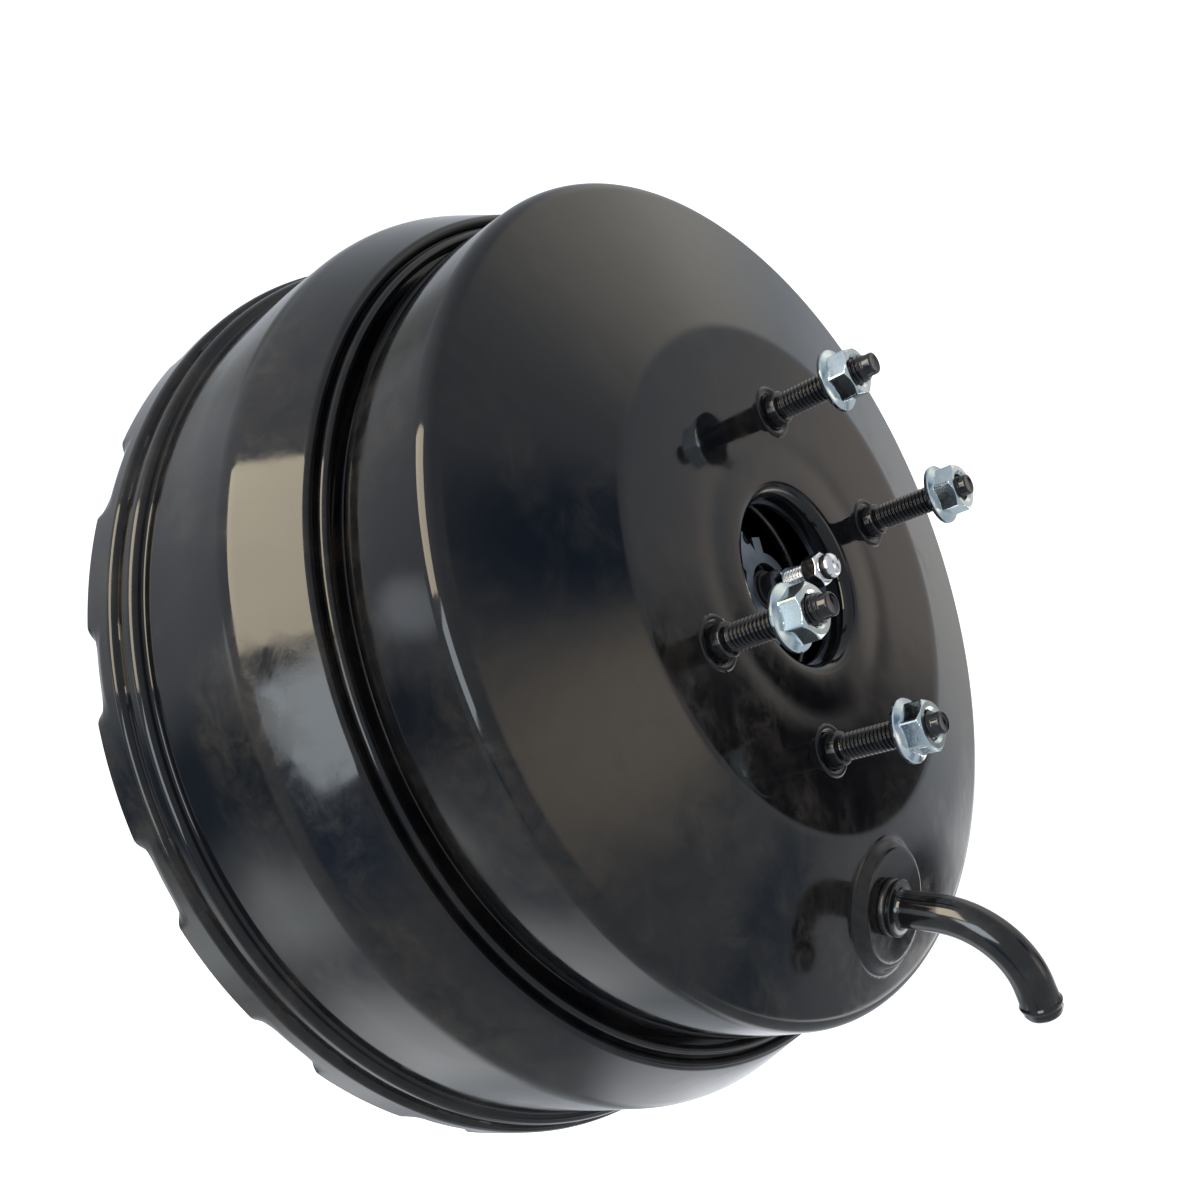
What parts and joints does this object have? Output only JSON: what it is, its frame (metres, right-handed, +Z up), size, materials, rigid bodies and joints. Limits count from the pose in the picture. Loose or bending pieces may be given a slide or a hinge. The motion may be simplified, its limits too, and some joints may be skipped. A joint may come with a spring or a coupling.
{
  "type": "brake booster",
  "caption": "Tandem vacuum brake booster: stepped pressed shells, four master cylinder studs, output rod in the mouth, bent vacuum pipe and clevis at the pedal side.",
  "frame": {"origin": "middle of the rear mounting face, on the booster's axis", "axes": "+X forward along the push rod axis to the master cylinder, +Y left, +Z up"},
  "size_m": [0.3411, 0.3, 0.3],
  "materials": {
    "black_steel": "high gloss black",
    "plain_steel": "plain pressed steel",
    "seal_rubber": "matt black rubber",
    "spring_steel": "spring steel",
    "phenolic": "dark moulded resin",
    "nylon": "natural nylon",
    "dark_rod": "black oxide",
    "bright_zinc": "bright zinc plate",
    "bright_steel": "machined steel",
    "zinc_sheet": "zinc-plated sheet",
    "black_stud": "gloss black",
    "grommet_rubber": "smooth black rubber",
    "black_pipe": "gloss black",
    "felt": "felt",
    "foam": "open foam",
    "boot_rubber": "matt black rubber"
  },
  "bodies": {
    "housing": {"front_shell": "black_steel", "rear_shell": "black_steel", "center_plate": "plain_steel", "center_hub_seal": "seal_rubber", "front_diaphragm": "seal_rubber", "rear_diaphragm": "seal_rubber", "rear_guide_bearing": "nylon", "rear_seal": "seal_rubber", "rear_seal_retainer": "spring_steel", "return_spring": "spring_steel", "rod_guide": "zinc_sheet", "front_stud_plate": "plain_steel", "rear_stud_plate": "plain_steel", "front_studs": "black_stud", "front_nuts": "bright_zinc", "rear_studs": "black_stud", "vacuum_grommet": "grommet_rubber", "boot": "boot_rubber"},
    "power_piston": {"front_piston_plate": "plain_steel", "rear_piston_plate": "plain_steel", "front_plate_retainer": "spring_steel", "rear_plate_retainer": "spring_steel", "valve_body": "phenolic", "stop_key": "spring_steel", "reaction_disc": "seal_rubber", "output_rod": "dark_rod", "rod_retainer": "spring_steel", "rod_collar": "bright_zinc", "output_rod_tip": "bright_steel", "poppet_valve": "seal_rubber", "poppet_spring": "spring_steel", "poppet_retainer": "spring_steel", "input_return_spring": "spring_steel", "silencer": "felt", "air_filter": "foam", "filter_retainer": "nylon"},
    "plunger": {"valve_plunger": "bright_steel"},
    "input_rod": {"input_rod": "zinc_sheet", "clevis": "zinc_sheet", "clevis_lock_nut": "bright_zinc"},
    "vacuum_elbow": {"vacuum_elbow": "black_pipe"}
  },
  "joints": [
    {"name": "power_stroke", "type": "slide", "parent": "housing", "child": "power_piston", "axis": [1, 0, 0], "range_m": [0, 0.03], "stiffness_N_per_m": 3000, "springref_m": -0.05, "deforming": ["return_spring", "front_diaphragm", "rear_diaphragm", "boot"]},
    {"name": "plunger_travel", "type": "slide", "parent": "power_piston", "child": "plunger", "axis": [1, 0, 0], "range_m": [0, 0.002], "stiffness_N_per_m": 2500, "springref_m": -0.01, "deforming": ["poppet_spring", "input_return_spring"]},
    {"name": "input_rod_swivel", "type": "hinge", "parent": "plunger", "child": "input_rod", "pos_m": [-0.008, 0, 0], "axis": [0, 1, 0], "range_deg": [-2.5, 2.5]},
    {"name": "elbow_swivel", "type": "hinge", "parent": "housing", "child": "vacuum_elbow", "pos_m": [0.15706, -0.07111, -0.06726], "axis": [0.9645, -0.1853, -0.1879], "range_deg": [-180, 180]}
  ]
}
